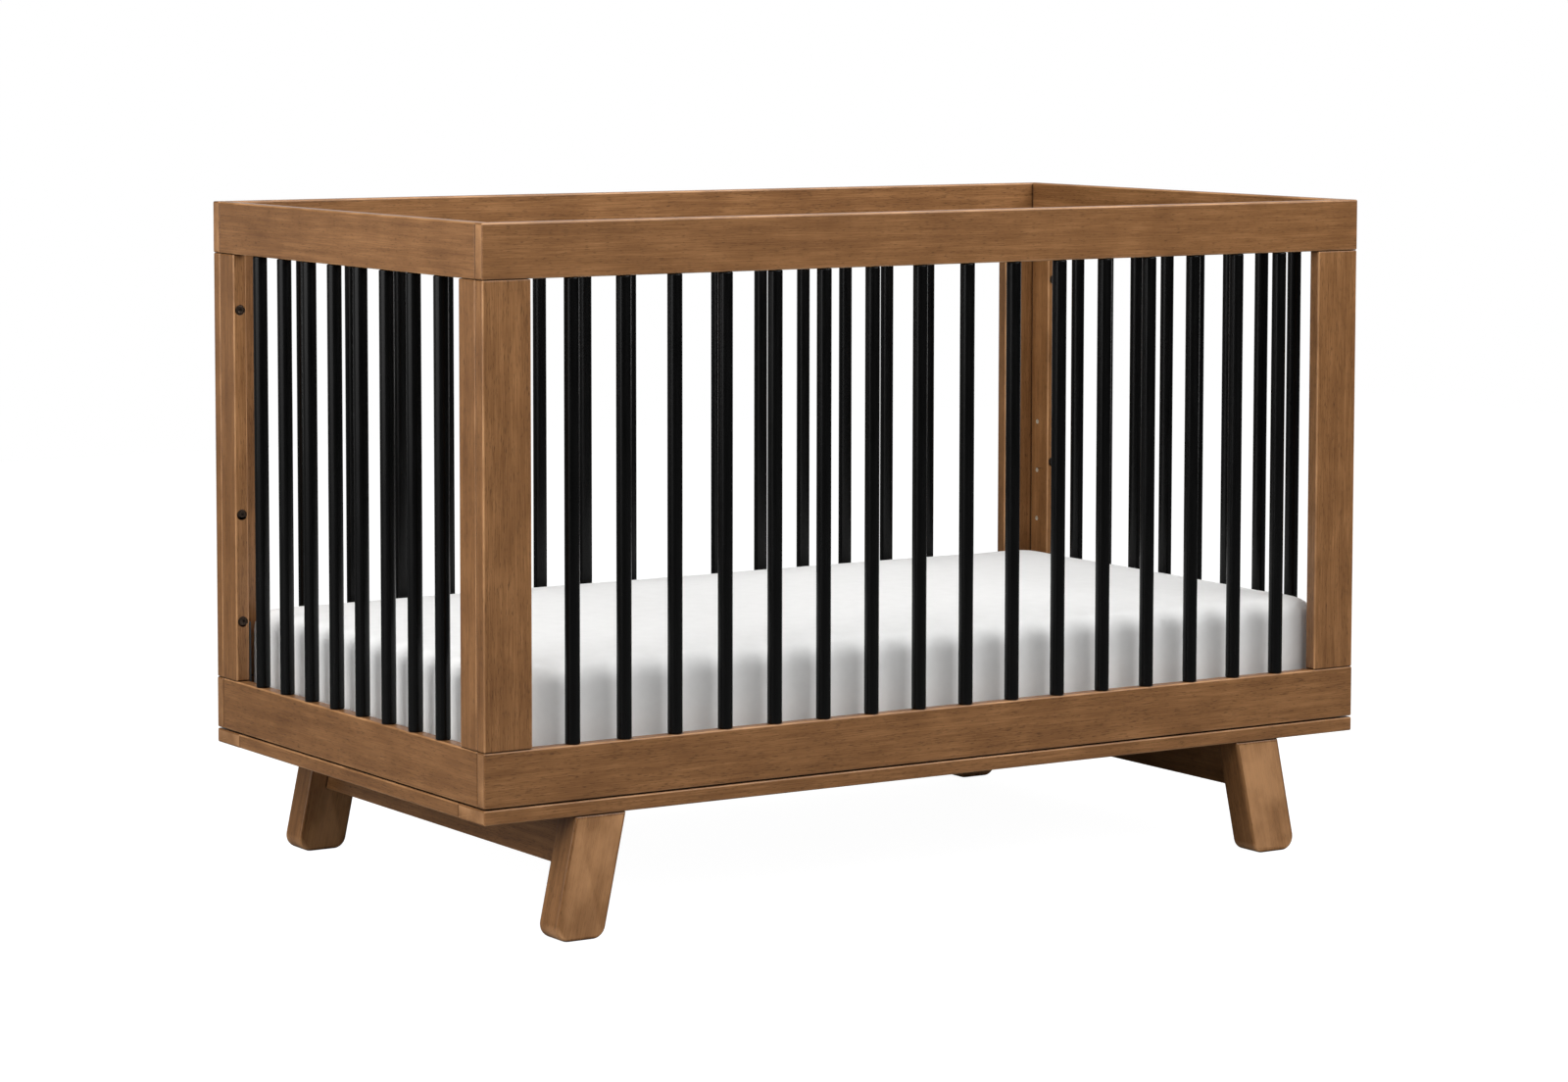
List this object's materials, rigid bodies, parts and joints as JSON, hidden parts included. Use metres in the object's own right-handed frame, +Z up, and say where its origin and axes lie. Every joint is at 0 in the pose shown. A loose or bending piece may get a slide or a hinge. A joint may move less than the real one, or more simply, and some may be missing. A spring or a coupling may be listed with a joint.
{
  "type": "baby crib",
  "caption": "Full-size crib with slatted panels of round spindles, a flat base frame on splayed legs, a height-adjustable mattress support and a mattress in a fitted sheet.",
  "frame": {"origin": "on the floor, under the centre of the crib", "axes": "+X along the crib's length to its right end, +Y from the front panel to the back panel, +Z up"},
  "size_m": [1.365, 0.75, 0.89],
  "materials": {
    "walnut_wood": "satin stain and lacquer",
    "black_paint": "satin black paint on turned wood",
    "bolt_steel": "dark bronze plating",
    "support_steel": "black powder coat",
    "mattress_cloth": "woven cover over foam",
    "sheet_cloth": "matte cotton"
  },
  "bodies": {
    "crib_frame": {"front_top_rail": "walnut_wood", "front_bottom_rail": "walnut_wood", "front_spindles_left": "black_paint", "front_spindles_right": "black_paint", "base_front_board": "walnut_wood", "back_top_rail": "walnut_wood", "back_bottom_rail": "walnut_wood", "back_spindles_left": "black_paint", "back_spindles_right": "black_paint", "base_back_board": "walnut_wood", "left_top_rail": "walnut_wood", "left_bottom_rail": "walnut_wood", "left_spindles": "black_paint", "base_left_board": "walnut_wood", "right_top_rail": "walnut_wood", "right_bottom_rail": "walnut_wood", "right_spindles": "black_paint", "base_right_board": "walnut_wood", "front_left_post": "walnut_wood", "left_front_stile": "walnut_wood", "front_left_leg": "walnut_wood", "corner_bolt_front_left_top": "bolt_steel", "corner_bolt_front_left_middle": "bolt_steel", "corner_bolt_front_left_bottom": "bolt_steel", "support_bolt_front_left": "bolt_steel", "leg_bolt_front_left": "bolt_steel", "front_right_post": "walnut_wood", "right_front_stile": "walnut_wood", "front_right_leg": "walnut_wood", "corner_bolt_front_right_top": "bolt_steel", "corner_bolt_front_right_middle": "bolt_steel", "corner_bolt_front_right_bottom": "bolt_steel", "support_bolt_front_right": "bolt_steel", "leg_bolt_front_right": "bolt_steel", "back_left_post": "walnut_wood", "left_back_stile": "walnut_wood", "back_left_leg": "walnut_wood", "corner_bolt_back_left_top": "bolt_steel", "corner_bolt_back_left_middle": "bolt_steel", "corner_bolt_back_left_bottom": "bolt_steel", "support_bolt_back_left": "bolt_steel", "leg_bolt_back_left": "bolt_steel", "back_right_post": "walnut_wood", "right_back_stile": "walnut_wood", "back_right_leg": "walnut_wood", "corner_bolt_back_right_top": "bolt_steel", "corner_bolt_back_right_middle": "bolt_steel", "corner_bolt_back_right_bottom": "bolt_steel", "support_bolt_back_right": "bolt_steel", "leg_bolt_back_right": "bolt_steel", "left_stretcher": "walnut_wood", "right_stretcher": "walnut_wood"},
    "mattress_support": {"mattress_support": "support_steel", "hanger_front_left": "support_steel", "hanger_front_right": "support_steel", "hanger_back_left": "support_steel", "hanger_back_right": "support_steel"},
    "mattress": {"mattress": "mattress_cloth", "fitted_sheet": "sheet_cloth"}
  },
  "joints": [
    {"name": "support_height", "type": "slide", "parent": "crib_frame", "child": "mattress_support", "axis": [0, 0, 1], "range_m": [0, 0.2202]},
    {"name": "mattress_lift", "type": "slide", "parent": "mattress_support", "child": "mattress", "axis": [0, 0, 1], "range_m": [0, 0.74]}
  ]
}
